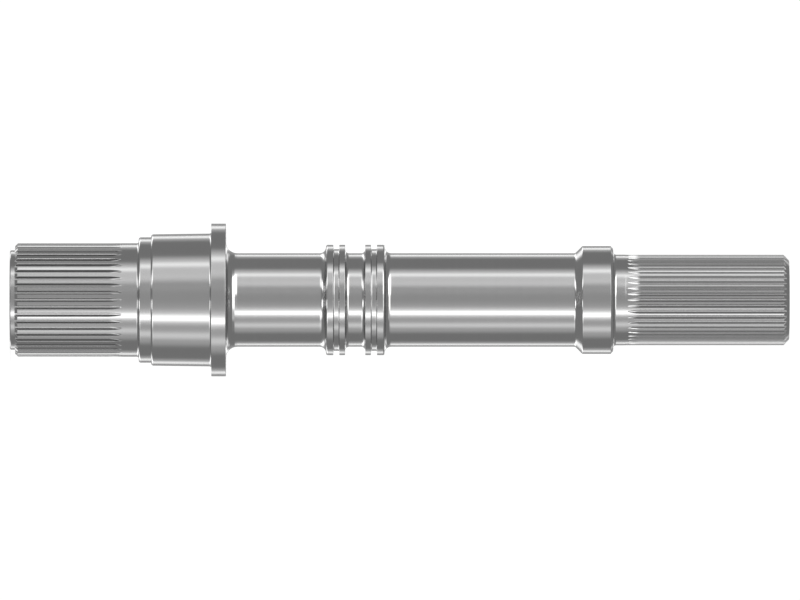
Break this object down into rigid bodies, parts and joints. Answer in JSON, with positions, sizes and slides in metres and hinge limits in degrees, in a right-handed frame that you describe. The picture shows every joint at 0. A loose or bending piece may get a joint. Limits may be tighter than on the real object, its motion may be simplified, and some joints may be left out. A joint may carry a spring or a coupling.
{
  "type": "gearbox output shaft",
  "caption": "Stepped steel gearbox output shaft with a splined end each side, a bearing seat against a flange, seal ring grooves and a bearing collar.",
  "frame": {"origin": "centre of the pilot's face under the large spline, on the shaft's axis", "axes": "+Z along the shaft's axis from the large spline to the small one; a tooth space of each spline faces -Y"},
  "size_m": [0.067, 0.067, 0.3416],
  "materials": {
    "ground_steel": "turned and ground steel, satin to bright"
  },
  "bodies": {
    "root": {"output_shaft": "ground_steel"}
  },
  "joints": []
}
